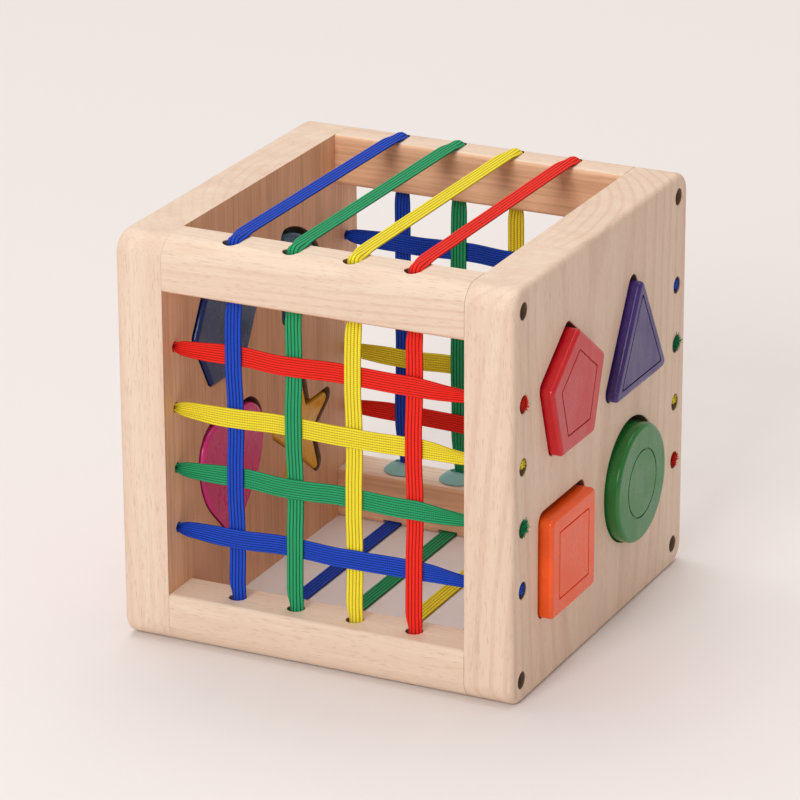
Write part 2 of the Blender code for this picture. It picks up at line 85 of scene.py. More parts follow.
STRAP_X = [middle(f"{colour}_loop_strap").x for colour in LOOPS]
STRAP_Z = [middle(f"front_{colour}_band").z for colour in FRONT_BANDS]
STRAP_Y = middle("blue_strap_collar").y
print("strap columns", [round(x, 4) for x in STRAP_X], "rows", [round(z, 4) for z in STRAP_Z])

# %% [markdown]
# ## The camera
#
# A long lens from a little over a metre and a half away keeps the cube's edges almost parallel. The
# camera looks down on the toy from the front right, and a small shift centres it in the frame.

# %% Place the camera
camera_data = bpy.data.cameras.new("camera")
camera = bpy.data.objects.new("camera", camera_data)
bpy.context.scene.collection.objects.link(camera)
camera_data.sensor_width = 36
camera_data.lens = 201.24
camera_data.shift_x = -0.0194
camera_data.shift_y = -0.0190
camera_data.clip_start = 0.1
camera_data.clip_end = 20
heading = Matrix.Rotation(math.radians(25.715), 4, "Z")
tilt = Matrix.Rotation(math.radians(69.383), 4, "X")
roll = Matrix.Rotation(math.radians(-0.178), 4, "Z")
camera.matrix_world = Matrix.Translation((0.6453, -1.3337, 0.6385)) @ heading @ tilt @ roll
bpy.context.scene.camera = camera
bpy.context.scene.view_settings.view_transform = "Standard"
print("camera at", [round(v, 3) for v in camera.location])

# %% [markdown]
# ## A small language for materials
#
# A material is a graph of nodes. Wiring it by hand is slow to read, so two short classes do it. A
# `Wire` is the output of a node, and arithmetic on wires adds Math nodes. A `Finish` is a material
# being made, and its `add` puts in any other node, with its settings first and its sockets next.


# %% Wires and finishes
class Wire:
    """The output of a node, usable in sums."""

    def __init__(self, finish, socket):
        self.finish = finish
        self.socket = socket

    def math(self, operation, first, second=None):
        sockets = {0: first} if second is None else {0: first, 1: second}
        return self.finish.add("ShaderNodeMath", {"operation": operation}, sockets)

    def __add__(self, other):
        return self.math("ADD", self, other)

    def __sub__(self, other):
        return self.math("SUBTRACT", self, other)

    def __rsub__(self, other):
        return self.math("SUBTRACT", other, self)

    def __mul__(self, other):
        return self.math("MULTIPLY", self, other)

    __radd__ = __add__
    __rmul__ = __mul__

    def root(self):
        return self.math("SQRT", self)

    def wave(self):
        return self.math("SINE", self)

    def size(self):
        return self.math("ABSOLUTE", self)


class Finish:
    """A material under construction."""

    def __init__(self, name, **fixed):
        self.material = bpy.data.materials.new(name)
        self.material.use_nodes = True
        self.tree = self.material.node_tree
        self.shader = self.tree.nodes["Principled BSDF"]
        for socket, value in fixed.items():
            self.shader.inputs[socket.replace("_", " ")].default_value = value

    def plug(self, socket, value):
        if isinstance(value, Wire):
            self.tree.links.new(value.socket, socket)
        else:
            socket.default_value = value

    def add(self, kind, settings=None, sockets=None, output=0):
        node = self.tree.nodes.new(kind)
        for name, value in (settings or {}).items():
            setattr(node, name, value)
        for name, value in (sockets or {}).items():
            self.plug(node.inputs[name], value)
        return Wire(self, node.outputs[output])

    def place(self):
        return self.add("ShaderNodeTexCoord", output="Object")

    def stretched(self, vector, scale, shift=(0, 0, 0), turn=(0, 0, 0)):
        sockets = {"Vector": vector, "Scale": scale, "Location": shift, "Rotation": turn}
        return self.add("ShaderNodeMapping", sockets=sockets)

    def split(self, vector):
        """The three numbers of a vector."""
        parts = self.add("ShaderNodeSeparateXYZ", sockets={"Vector": vector})
        return [Wire(self, output) for output in parts.socket.node.outputs]

    def noise(self, vector, per_metre, detail=3.0, roughness=0.5, shift=(0, 0, 0)):
        """Noise with this many blots to the metre along each axis."""
        place = self.stretched(vector, per_metre, shift)
        sockets = {"Vector": place, "Scale": 1.0, "Detail": detail, "Roughness": roughness}
        return self.add("ShaderNodeTexNoise", sockets=sockets)

    def between(self, value, low, high):
        """0 below low, 1 above high, smooth between."""
        sockets = {"Value": value, "From Min": low, "From Max": high}
        settings = {"interpolation_type": "SMOOTHSTEP"}
        return self.add("ShaderNodeMapRange", settings, sockets)

    def blend(self, share, first, second):
        """Mixes two colours."""
        sockets = {0: share, 6: first, 7: second}
        return self.add("ShaderNodeMix", {"data_type": "RGBA"}, sockets, output=2)

    def marked(self, name):
        """The value that mark() wrote on the mesh."""
        settings = {"attribute_name": name, "attribute_type": "GEOMETRY"}
        return self.add("ShaderNodeAttribute", settings, output="Fac")

    def bump(self, height, distance, strength=1.0):
        sockets = {"Height": height, "Distance": distance, "Strength": strength}
        self.set("Normal", self.add("ShaderNodeBump", sockets=sockets, output="Normal"))

    def set(self, socket, value):
        self.plug(self.shader.inputs[socket], value)


def shade(*colour):
    return (*colour, 1.0)


def tinted(colour, factor, lift=0.0):
    """The colour made lighter or darker."""
    return shade(*[min(1.0, value * factor + lift) for value in colour])


# %% [markdown]
# ## Wood
#
# The wood is pale, with faint growth rings, fine fibres and short reddish pores that all run along
# the board. A flat pattern would smear on some faces, so the finish is worked out in three
# dimensions, as in a real board: rings about a distant centre line, and noise stretched along the
# grain. On a face cut across the grain the same rules draw the ends of the rings. The mesh carries
# two marks for painted shade: faces inside the cube get a warmer, darker painted shade with
# stronger streaks of grain, standing for light bounced among the wood, and the walls and floors of
# holes get a dark painted shade.


# %% The wood finish
def wood_finish(name, along, centre, seed, ring=0.0034, rings=0.5):
    """along is the grain's axis, "X" or "Z". centre is where the rings start, across the board.

    ring is the distance between two growth rings, and rings is how strongly they show.
    """
    finish = Finish(name, Roughness=0.5)
    turn = (0, -math.pi / 2, 0) if along == "X" else (0, 0, 0)
    shift = (seed * 0.173, seed * 0.311, seed * 0.7)
    board = finish.stretched(finish.place(), (1, 1, 1), shift, turn)
    x, y, z = finish.split(finish.stretched(finish.place(), (1, 1, 1), (0, 0, 0), turn))

    sway = finish.noise(board, (22, 22, 5), 2.0)
    ripple = finish.noise(board, (130, 130, 14), 2.0)
    across = x - centre[0]
    beside = y - centre[1]
    reach = (across * across + beside * beside).root()
    reach = reach + sway * 0.010 + ripple * 0.0012 - z * 0.045
    wave = (reach * (2 * math.pi / ring)).wave()
    late = finish.between(wave, 0.1, 1.0)

    band = finish.noise(board, (110, 110, 4), 3.0, 0.6)
    fibre = finish.noise(board, (850, 850, 22), 4.0, 0.65)
    hair = finish.noise(board, (2000, 2000, 90), 2.0)
    pore = finish.between(finish.noise(board, (2600, 2600, 240), 1.0, 0.5, (3.1, 1.7, 0)), 0.6, 0.7)
    cloud = finish.noise(board, (14, 14, 5), 2.0)

    pale = shade(0.86, 0.69, 0.54)
    warm = shade(0.76, 0.55, 0.42)
    streak = shade(0.66, 0.43, 0.32)
    dark = shade(0.46, 0.26, 0.18)
    colour = finish.blend(finish.between(band, 0.32, 0.72) * 0.7, pale, warm)
    colour = finish.blend(finish.between(fibre, 0.48, 0.74) * 0.45, colour, warm)
    colour = finish.blend(finish.between(hair, 0.5, 0.8) * 0.32, colour, streak)
    colour = finish.blend(finish.between(cloud, 0.42, 0.66) * 0.35, colour, warm)
    colour = finish.blend(late * finish.between(cloud, 0.3, 0.65) * rings * 0.5, colour, streak)
    colour = finish.blend(pore * 0.26, colour, dark)
    # Faces inside the cube: painted warm shade, with darker streaks of grain, for light bounced
    # among the wood.
    inner = finish.marked("inner")
    colour = finish.blend(inner * 0.55, colour, shade(0.90, 0.43, 0.18))
    figure = finish.between(fibre * 0.6 + band * 0.4, 0.44, 0.62)
    colour = finish.blend(inner * figure * 0.36, colour, shade(0.42, 0.21, 0.11))
    # Walls of holes and floors of recesses: painted dark shade, where little light reaches.
    hollow = finish.marked("hollow")
    colour = finish.blend(hollow * 0.85, colour, shade(0.15, 0.085, 0.055))
    finish.set("Base Color", colour)
    finish.set("Roughness", fibre * 0.18 + 0.46)
    finish.bump(fibre * 0.5 - pore * 0.9 + late * 0.15, 0.00010, 0.45)
    return finish.material


# %% [markdown]
# ## Paint
#
# Each block is dipped in glossy paint. The film is never quite even: it has a slight orange-peel
# ripple, patches that shine less, and tiny pale specks. The flat faces are a little duller than the
# sides and carry a painted reflection, a paler haze such as the bright surroundings give them, so
# the mesh carries a mark on those faces.


# %% The paint finish
def paint_finish(name, colour, seed):
    finish = Finish(name, Roughness=0.3, Specular_IOR_Level=0.5)
    place = finish.stretched(finish.place(), (1, 1, 1), (seed * 0.21, seed * 0.37, seed * 0.11))
    patch = finish.noise(place, (70, 70, 70), 3.0, 0.6)
    peel = finish.noise(place, (520, 520, 520), 2.0)
    grain = finish.noise(place, (420, 420, 45), 3.0, 0.6)
    speck = finish.between(finish.noise(place, (900, 900, 900), 2.0), 0.68, 0.75)
    face = finish.marked("face")
    deep, light = tinted(colour, 0.90), tinted(colour, 1.05, 0.004)
    mixed = finish.blend(finish.between(patch, 0.3, 0.7), deep, light)
    wear_and_haze = finish.between(patch * 0.6 + grain * 0.4, 0.34, 0.62)
    # The flat faces get a painted reflection: a paler haze, as from the bright surroundings.
    mixed = finish.blend(face * (wear_and_haze * 0.6 + 0.35), mixed, tinted(colour, 1.02, 0.012))
    mixed = finish.blend(speck * 0.08, mixed, shade(0.8, 0.76, 0.72))
    finish.set("Base Color", mixed)
    finish.set("Roughness", patch * 0.18 + face * wear_and_haze * 0.2 + 0.11)
    finish.bump(peel * 0.5 + grain * 0.6, 0.00007, 0.5)
    return finish.material


# %% [markdown]
# ## Elastic
#
# Braided elastic is a row of covered rubber cords. The mesh carries the ribs, and the finish adds
# what is finer: painted shade in the valley between two cords, and the slanting stitches of the
# cover. It reads the strap's own map, in which U runs across the strap and V along it, so that the
# stitches follow every bend.


# %% The elastic finish
def elastic_finish(name, colour, depth, ribs, line, stitches):
    """depth is how bright the painted shade in a rib valley is; line is how much of it shows."""
    finish = Finish(name, Roughness=0.7, Specular_IOR_Level=0.12, Sheen_Weight=0.02)
    layout = finish.add("ShaderNodeUVMap", {"uv_map": "strap"}, output="UV")
    u, v, _ = finish.split(layout)

    rib = (u * (math.pi * ribs)).wave().size()
    ragged = finish.noise(layout, (24, 5, 1), 4.0, 0.7)
    valley = 1 - finish.between(rib + (ragged - 0.5) * 0.55, 0.10, 0.74)
    # V is in strap widths, so this is the number of stitches in a width's length.
    slant = (v * (2 * math.pi * stitches) + rib * 2.6).wave()
    stitch = finish.between(slant, -0.4, 0.9)
    fuzz = finish.noise(layout, (48, 40, 1), 3.0, 0.75)
    wear = finish.noise(layout, (4, 0.7, 1), 2.0)

    dim, bright = tinted(colour, 0.86), tinted(colour, 1.42, 0.006)
    body = finish.blend(finish.between(stitch * 0.45 + fuzz * 0.55, 0.15, 0.8), dim, bright)
    body = finish.blend(finish.between(wear, 0.35, 0.75) * 0.25, body, bright)
    # Painted shade in the valleys between ribs.
    valley_shade = valley * (ragged * 0.6 + 0.7) * line
    finish.set("Base Color", finish.blend(valley_shade, body, tinted(colour, depth)))
    finish.bump(stitch * 0.4 + fuzz * 0.5 - valley * 0.8, 0.00016, 0.6)
    return finish.material


# %% [markdown]
# ## Working with Blender's operators
#
# The wooden pieces are modelled as by hand: add a primitive, go into edit mode, select, bevel or
# extrude. An operator acts on everything selected, and the engineering model comes in selected, so
# each helper first clears the selection. `finish_piece` gives a finished piece its material, sets
# it on the body that it rides on and hides the engineering solids that it stands for.


# %% Helpers for modelling
def deselect():
    if bpy.context.mode != "OBJECT":
        bpy.ops.object.mode_set(mode="OBJECT")
    bpy.ops.object.select_all(action="DESELECT")


def pick(*objects):
    deselect()
    for item in objects:
        item.select_set(True)
    bpy.context.view_layer.objects.active = objects[0]


def settle(item, name):
    """Puts the object's place, turn and size into its mesh."""
    pick(item)
    bpy.ops.object.transform_apply(location=True, rotation=True, scale=True)
    item.name = name
    return item


def add_block(name, low, high):
    deselect()
    low, high = Vector(low), Vector(high)
    bpy.ops.mesh.primitive_cube_add(size=1, location=(low + high) / 2, scale=high - low)
    return settle(bpy.context.object, name)


def select_edges(item, test):
    """Goes into edit mode with only the edges selected whose two ends pass the test."""
    pick(item)
    bpy.ops.object.mode_set(mode="EDIT")
    bpy.ops.mesh.select_mode(type="EDGE")
    bpy.ops.mesh.select_all(action="DESELECT")
    mesh = bmesh.from_edit_mesh(item.data)
    for edge in mesh.edges:
        if test(edge.verts[0].co, edge.verts[1].co):
            edge.select_set(True)
    bmesh.update_edit_mesh(item.data)


def near(a, b, tolerance=1e-5):
    return abs(a - b) < tolerance


def on_plane(axis, place):
    """The test for edges that lie where this coordinate has this value."""
    return lambda a, b: near(getattr(a, axis), place) and near(getattr(b, axis), place)


def bevel_edges(item, test, radius, segments):
    select_edges(item, test)
    bpy.ops.mesh.bevel(offset=radius, segments=segments, profile=0.5, clamp_overlap=False)
    bpy.ops.object.mode_set(mode="OBJECT")


def turn_outwards(item):
    """Makes every face point out of the solid."""
    pick(item)
    bpy.ops.object.mode_set(mode="EDIT")
    bpy.ops.mesh.select_all(action="SELECT")
    bpy.ops.mesh.normals_make_consistent(inside=False)
    bpy.ops.object.mode_set(mode="OBJECT")


def apply_modifier(item, name, kind, **settings):
    pick(item)
    modifier = item.modifiers.new(name, kind)
    for key, value in settings.items():
        setattr(modifier, key, value)
    bpy.ops.object.modifier_apply(modifier=name)


def cut(item, cutter):
    """Takes the cutter's shape out of the piece and throws the cutter away."""
    apply_modifier(item, "cut", "BOOLEAN", operation="DIFFERENCE", solver="EXACT", object=cutter)
    bpy.data.objects.remove(cutter, do_unlink=True)


def smooth(item):
    """Rounded edges shade as one surface, and large flat faces stay flat."""
    pick(item)
    bpy.ops.object.shade_smooth_by_angle(angle=math.radians(32))
    apply_modifier(item, "even_shading", "WEIGHTED_NORMAL", keep_sharp=True, weight=60)


def mark(item, name, test):
    """Writes 1 on each face whose middle and normal pass the test, 0 on the others."""
    layer = item.data.attributes.new(name, "FLOAT", "CORNER")
    values = np.zeros(len(item.data.loops), dtype=np.float32)
    for face in item.data.polygons:
        if test(face.center, face.normal):
            values[face.loop_start : face.loop_start + face.loop_total] = 1.0
    layer.data.foreach_set("value", values)


def finish_piece(item, material, body, slot, *nodes):
    item.data.materials.clear()
    item.data.materials.append(material)
    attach(item, body)
    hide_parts(*nodes)
    print(item.name, len(item.data.polygons), "faces")


# %% [markdown]
# ## Outlines
#
# A shape is a polygon with a radius for each corner. Moving every side in or out by a distance, and
# changing each radius by as much, gives a parallel outline: outwards for an opening, inwards for a
# groove. Writing the outline once and moving it keeps block, groove and opening in step.


# %% Outlines that can be moved in and out
def arc(centre, radius, start, end):
    """Points along an arc, closer together where it is tighter."""
    steps = max(3, math.ceil(abs(end - start) * math.sqrt(radius / 0.00016)))
    angles = [start + (end - start) * i / steps for i in range(steps + 1)]
    return [(centre[0] + radius * math.cos(t), centre[1] + radius * math.sin(t)) for t in angles]


def turn_at(before, here, after):
    heading_in = math.atan2(here[1] - before[1], here[0] - before[0])
    heading_out = math.atan2(after[1] - here[1], after[0] - here[0])
    turn = (heading_out - heading_in + math.pi) % (2 * math.pi) - math.pi
    return heading_in, turn


def rounded(corners, radii, distance=0.0, least=0.0007):
    """The polygon's outline, anticlockwise, with its sides moved outwards by a distance.

    least is the smallest radius that a corner is left with.
    """
    outline = []
    count = len(corners)
    for i, here in enumerate(corners):
        heading_in, turn = turn_at(corners[i - 1], here, corners[(i + 1) % count])
        side = 1 if turn > 0 else -1
        stretch = 1 / math.cos(turn / 2)
        normal = heading_in + turn / 2 - math.pi / 2
        corner = (
            here[0] + distance * stretch * math.cos(normal),
            here[1] + distance * stretch * math.sin(normal),
        )
        radius = max(least, radii[i] + side * distance)
        inward = normal + math.pi if side > 0 else normal
        centre = (
            corner[0] + radius * stretch * math.cos(inward),
            corner[1] + radius * stretch * math.sin(inward),
        )
        first = heading_in - side * math.pi / 2
        outline += arc(centre, radius, first, first + turn)
    # Where two rounds nearly touch, the tiny side between them would fold over in a bevel.
    following = outline[1:] + outline[:1]
    return [point for point, after in zip(outline, following) if math.dist(point, after) > 1e-4]


def regular(count, radius, start, corner_r, distance):
    angles = [start + 2 * math.pi * i / count for i in range(count)]
    corners = [(radius * math.cos(t), radius * math.sin(t)) for t in angles]
    return rounded(corners, [corner_r] * count, distance)


# %% The eight shapes
def pentagon(distance=0.0):
    return regular(5, 0.0234, math.pi / 2, 0.0022, distance)


def triangle(distance=0.0):
    return regular(3, 0.0475 / math.sqrt(3), math.pi / 2, 0.0026, distance)


def square(distance=0.0):
    return regular(4, 0.0368 / math.sqrt(2), math.pi / 4, 0.0026, distance)


def circle(distance=0.0):
    return arc((0, 0), 0.0217 + distance, 0, 2 * math.pi)[:-1]


def hexagon(distance=0.0):
    return regular(6, 0.0237, 0, 0.0022, distance)


def quarter(distance=0.0):
    big = 0.0346 + distance
    small = max(0.0012, 0.0026 + distance)
    near = small - distance
    along = math.sqrt((big - small) ** 2 - near**2)
    lean = math.asin(near / (big - small))
    points = arc((near, near), small, math.pi, 1.5 * math.pi)
    points += arc((along, near), small, -math.pi / 2, lean)
    points += arc((0, 0), big, lean, math.pi / 2 - lean)[1:-1]
    points += arc((near, along), small, math.pi / 2 - lean, math.pi)
    return points


def heart(distance=0.0):
    half = 0.0232
    lobe = 0.0115
    reach = lobe * (1 + math.tan(math.radians(27.5)))
    shoulder = -0.04 * half
    right = [(half, shoulder), (half, half), (half - reach, half)]
    left = [(-a, b) for a, b in reversed(right)]
    corners = [(0, shoulder - half), *right, (0, half - 0.0081), *left]
    radii = [0.0026, 0.028, lobe, lobe, 0.0024, lobe, lobe, 0.028]
    return rounded(corners, radii, distance, 0.0003)


def star(distance=0.0):
    corners = []
    for i in range(10):
        radius = 0.0290 if i % 2 == 0 else 0.0104
        angle = math.pi / 2 + math.pi * i / 5
        corners.append((radius * math.cos(angle), radius * math.sin(angle)))
    return rounded(corners, [0.0022, 0.0020] * 5, distance)


# Each block: its outline, how far in the groove runs, and its paint.
BLOCKS = {
    "pentagon_block": (pentagon, 0.0060, (0.60, 0.006, 0.014)),
    "triangle_block": (triangle, 0.0033, (0.044, 0.018, 0.165)),
    "square_block": (square, 0.0058, (0.93, 0.100, 0.008)),
    "circle_block": (circle, 0.0089, (0.018, 0.20, 0.036)),
    "hexagon_block": (hexagon, 0.0058, (0.005, 0.032, 0.17)),
    "quarter_block": (quarter, 0.0050, (0.015, 0.10, 0.17)),
    "heart_block": (heart, 0.0052, (0.78, 0.045, 0.27)),
    "star_block": (star, 0.0030, (0.98, 0.52, 0.010)),
}
BLOCK_CLEAR = 0.0012
REST_GAP = 0.0003


def seat_of(node, shape):
    """(side of the cube, centre of the block's outline) as the engineering model has them."""
    low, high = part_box(node)
    points = np.array(shape())
    centre = (points.min(0) + points.max(0)) / 2
    side = 1 if low.x > 0 else -1
    return side, (low.y + high.y) / 2 - centre[0], (low.z + high.z) / 2 - centre[1]


for node, (shape, _, _) in BLOCKS.items():
    print(node, len(shape()), "points, seat", [round(v, 4) for v in seat_of(node, shape)])


# %% [markdown]
# ## Turning an outline into a solid
#
# A circle primitive is only a ring of points with a face across it, so it can become any outline:
# ask for as many points as the outline has, and move each to its place. Extruding that face gives
# a prism. This serves for the blocks and for the tools that cut their openings.


# %% Prisms
PAST = 0.002  # how far a cutter reaches past the face that it cuts


def moved(points, y, z):
    return [(a + y, b + z) for a, b in points]


def add_prism(name, points, x_from, x_to):
    deselect()
    bpy.ops.mesh.primitive_circle_add(vertices=len(points), radius=0.02, fill_type="NGON")
    item = bpy.context.object
    for vertex, (y, z) in zip(item.data.vertices, points):
        vertex.co = (x_from, y, z)
    bpy.ops.object.mode_set(mode="EDIT")
    bpy.ops.mesh.select_all(action="SELECT")
    move = {"value": (x_to - x_from, 0, 0)}
    bpy.ops.mesh.extrude_region_move(TRANSFORM_OT_translate=move)
    turn_outwards(item)
    return settle(item, name)


def add_bore(x_from, x_to, y, z, radius, vertices=40):
    """A round bar along X, from which a hole or a screw is made."""
    deselect()
    centre = ((x_from + x_to) / 2, y, z)
    size = {"vertices": vertices, "radius": radius, "depth": abs(x_to - x_from)}
    bpy.ops.mesh.primitive_cylinder_add(location=centre, rotation=(0, math.pi / 2, 0), **size)
    return settle(bpy.context.object, "bore")


# %% [markdown]
# ## The side panels
#
# A panel is a board with its four corners rounded, its outer edges broken with a small round, four
# shaped openings, eight bores for the strap ends and four recesses for the screws. The corners are
# bevelled while the board is still a plain box, because a bevel is cleanest before anything is cut.
# After the cuts, the rim of every hole gets a fine round, as sanding leaves it.

# %% Cut the panels
SCREWS = [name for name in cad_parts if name.endswith("_screw")]
KNOT_BORE_R = 0.0031  # also of a screw's recess
CORD_BORE_R = 0.0018
SHANK_BORE_R = 0.0019
KNOT_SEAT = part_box("front_red_band")[1].x - 0.0060
SCREW_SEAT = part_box("right_top_front_screw")[1].x - 0.0025
OUTER_EDGE_R = 0.0022
BUTT_EDGE_R = 0.00012  # of a panel's inner edge, where the rails meet it


def panel_cutters(side, inner, outer):
    """A prism for each opening, then two bars for each screw and each strap end."""
    in_from, out_to = inner - side * PAST, outer + side * PAST
    cutters = []
    for node, (shape, _, _) in BLOCKS.items():
        block_side, y, z = seat_of(node, shape)
        if block_side == side:
            points = moved(shape(BLOCK_CLEAR), y, z + BLOCK_CLEAR - REST_GAP)
            cutters.append(add_prism("opening", points, in_from, out_to))
    for node in SCREWS:
        if node.startswith("right" if side > 0 else "left"):
            _, y, z = middle(node)
            cutters.append(add_bore(side * SCREW_SEAT, out_to, y, z, KNOT_BORE_R))
            cutters.append(add_bore(in_from, outer, y, z, SHANK_BORE_R, 20))
    for y in (-STRAP_Y, STRAP_Y):
        for z in STRAP_Z:
            cutters.append(add_bore(side * KNOT_SEAT, out_to, y, z, KNOT_BORE_R))
            cutters.append(add_bore(in_from, outer, y, z, CORD_BORE_R, 24))
    return cutters


def make_panel(name, side):
    low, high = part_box(name)
    board = add_block(f"finished_{name}", low, high)
    outer = side * WIDTH / 2
    inner = side * (WIDTH / 2 - PANEL_T)

    bevel_edges(board, lambda a, b: near(a.y, b.y) and near(a.z, b.z), CORNER_R, 12)
    bevel_edges(board, on_plane("x", outer), OUTER_EDGE_R, 6)
    bevel_edges(board, on_plane("x", inner), BUTT_EDGE_R, 2)
    for cutter in panel_cutters(side, inner, outer):
        cut(board, cutter)

    def inside(v):
        return abs(v.y) < DEPTH / 2 - 0.003 and 0.003 < v.z < HEIGHT - 0.003

    for face_x, radius in ((outer, 0.0004), (inner, 0.0003)):
        flush = on_plane("x", face_x)
        round_rims(board, lambda a, b: flush(a, b) and inside(a) and inside(b), radius)
    smooth(board)

    def in_a_hole(centre, normal):
        below_outer, below_inner = abs(centre.x - outer), abs(centre.x - inner)
        wall = min(below_outer, below_inner) > 0.0005 and abs(normal.x) < 0.5
        seat = normal.x * side > 0.9 and 0.002 < below_outer < 0.009
        return inside(centre) and (wall or seat)

    # Faces that look into the cube get painted warm shade.
    mark(board, "inner", lambda centre, normal: normal.x * side < -0.6)
    # The walls of the holes and the floors of the recesses get painted dark shade.
    mark(board, "hollow", in_a_hole)
    return board


def round_rims(board, rim, radius):
    """Bevels only the edges where a flat face meets the wall of a hole."""
    select_edges(board, rim)
    mesh = bmesh.from_edit_mesh(board.data)
    for edge in mesh.edges:
        if edge.select and (len(edge.link_faces) != 2 or edge.calc_face_angle() < 0.5):
            edge.select_set(False)
    bmesh.update_edit_mesh(board.data)
    bpy.ops.mesh.bevel(offset=radius, segments=3, profile=0.5, clamp_overlap=False)
    bpy.ops.object.mode_set(mode="OBJECT")


panels = {side: make_panel(name, side) for name, side in (("right_panel", 1), ("left_panel", -1))}
right_wood = wood_finish("right_panel_wood", "Z", (-0.010, -0.005), 3, 0.0042, 0.7)
left_wood = wood_finish("left_panel_wood", "Z", (0.045, 0.020), 8, 0.0038, 0.5)
finish_piece(panels[1], right_wood, "frame", "wood", "right_panel")
finish_piece(panels[-1], left_wood, "frame", "wood", "left_panel")

# %% [markdown]
# ## The rails
#
# A rail runs between the panels. Its outer corner is rounded like theirs, so the toy reads as one
# smooth cube, and round holes let the upright straps through. Shallow grooves under the bottom
# rails keep the straps off the table.

# %% Cut the rails
STRAP_HOLE_R = 0.00307
RAIL_EDGE_R = 0.0016
CHANNEL_HALF, CHANNEL_DEPTH = 0.0038, 0.0017


def add_strap_hole(x, y, low, high):
    deselect()
    size = {"vertices": 48, "radius": STRAP_HOLE_R, "depth": high - low}
    bpy.ops.mesh.primitive_cylinder_add(location=(x, y, (low + high) / 2), **size)
    return settle(bpy.context.object, "strap_hole")


def make_rail(name, back, top):
    low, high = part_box(name)
    half = WIDTH / 2 - PANEL_T - SEAM
    rail = add_block(f"finished_{name}", (-half, low.y, low.z), (half, high.y, high.z))
    outer_y = low.y if back < 0 else high.y
    outer_z = high.z if top > 0 else low.z

    def along(a, b):
        return near(a.y, b.y) and near(a.z, b.z)

    def at_corner(a, b):
        return along(a, b) and near(a.y, outer_y) and near(a.z, outer_z)

    def at_edge(a, b):
        on_side = near(a.y, low.y) or near(a.y, high.y)
        return along(a, b) and on_side and (near(a.z, low.z) or near(a.z, high.z))

    bevel_edges(rail, at_corner, CORNER_R, 12)
    bevel_edges(rail, at_edge, RAIL_EDGE_R, 5)
    y = back * STRAP_Y
    for x in STRAP_X:
        cut(rail, add_strap_hole(x, y, low.z - PAST, high.z + PAST))
        if top < 0:
            start, end = sorted((y, back * (DEPTH / 2 - RAIL_DEPTH - PAST)))
            channel_low = (x - CHANNEL_HALF, start, -PAST)
            cut(rail, add_block("channel", channel_low, (x + CHANNEL_HALF, end, CHANNEL_DEPTH)))

    def by_hole(v, spare=0.00003):
        return abs(v.y - y) < STRAP_HOLE_R + spare

    for face_z in (low.z, high.z):
        flush = on_plane("z", face_z)
        round_rims(rail, lambda a, b: flush(a, b) and by_hole(a) and by_hole(b), 0.0003)
    smooth(rail)

    def in_a_hole(centre, normal):
        inside = low.z + 0.0002 < centre.z < high.z - 0.0002
        return inside and abs(normal.z) < 0.2 and by_hole(centre, 0.0002)

    # Faces that look into the cube, and the undersides of the top rails, get painted warm shade.
    mark(rail, "inner", lambda centre, normal: normal.y * back < -0.6 or normal.z < -0.6 < top)
    # The walls of the strap holes get painted dark shade.
    mark(rail, "hollow", in_a_hole)
    return rail


for back, back_name in ((-1, "front"), (1, "rear")):
    for top, top_name in ((1, "top"), (-1, "bottom")):
        name = f"{top_name}_{back_name}_rail"
        centre = (back * 0.02 + 0.03 * top, 0.055)
        wood = wood_finish(f"{name}_wood", "X", centre, 12 + back + top, 0.0021, 0.85)
        finish_piece(make_rail(name, back, top), wood, "frame", "wood", name)

# %% [markdown]
# ## The blocks
#
# A block is a prism with softly rounded edges and a fine groove on its outer face that repeats its
# outline. The groove is cut with a thin frame: the same prism, hollowed by an inset. Cutting it
# with a Boolean keeps the groove parallel to the sides even where a corner is tight.

# %% Make the blocks
BLOCK_EDGE_R = 0.0015
GROOVE_W = 0.0006
GROOVE_DEPTH = 0.0005


def add_groove_cutter(shape, inset, y, z, face_x, side):
    ring_points = moved(shape(-inset), y, z)
    core_points = moved(shape(-inset - GROOVE_W), y, z)
    ring = add_prism("groove", ring_points, face_x - side * GROOVE_DEPTH, face_x + side * 0.001)
    cut(ring, add_prism("core", core_points, face_x - side * PAST, face_x + side * PAST))
    return ring


def make_block(node, shape, inset):
    side, y, z = seat_of(node, shape)
    low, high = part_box(node)
    block = add_prism(f"finished_{node}", moved(shape(), y, z), low.x, high.x)
    for face_x in (low.x, high.x):
        bevel_edges(block, on_plane("x", face_x), BLOCK_EDGE_R, 5)
    outer = high.x if side > 0 else low.x
    cut(block, add_groove_cutter(shape, inset, y, z, outer, side))
    smooth(block)
    # The flat faces are marked for the painted paler haze and the duller gloss.
    mark(block, "face", lambda centre, normal: abs(normal.x) > 0.97)
    return block


for seed, (node, (shape, inset, colour)) in enumerate(BLOCKS.items(), 1):
    body = node.replace("_block", "")
    paint = paint_finish(f"{body}_gloss_paint", colour, seed)
    finish_piece(make_block(node, shape, inset), paint, body, f"{body}_paint", node)

# %% [markdown]
# ## The screws
#
# Each rail is held by a screw through the panel at either end. The head sits deep in its recess,
# where little light reaches, so a domed disc with a cross cut in it is enough.

# %% Make the screws
screw_finish = Finish("browned_steel", Metallic=0.85, Roughness=0.5)
tarnish = screw_finish.noise(screw_finish.place(), (700, 700, 700))
brown = screw_finish.blend(tarnish, shade(0.16, 0.105, 0.075), shade(0.34, 0.25, 0.19))
screw_finish.set("Base Color", brown)
screw_finish.set("Roughness", tarnish * 0.3 + 0.4)
screw_finish.bump(tarnish, 0.00004, 0.4)

HEAD_R, SHANK_R = 0.0026, 0.0016
ARM_HALF, ARM_THIN, ARM_DEPTH = 0.0017, 0.00035, 0.0011  # of the cross in a screw's head


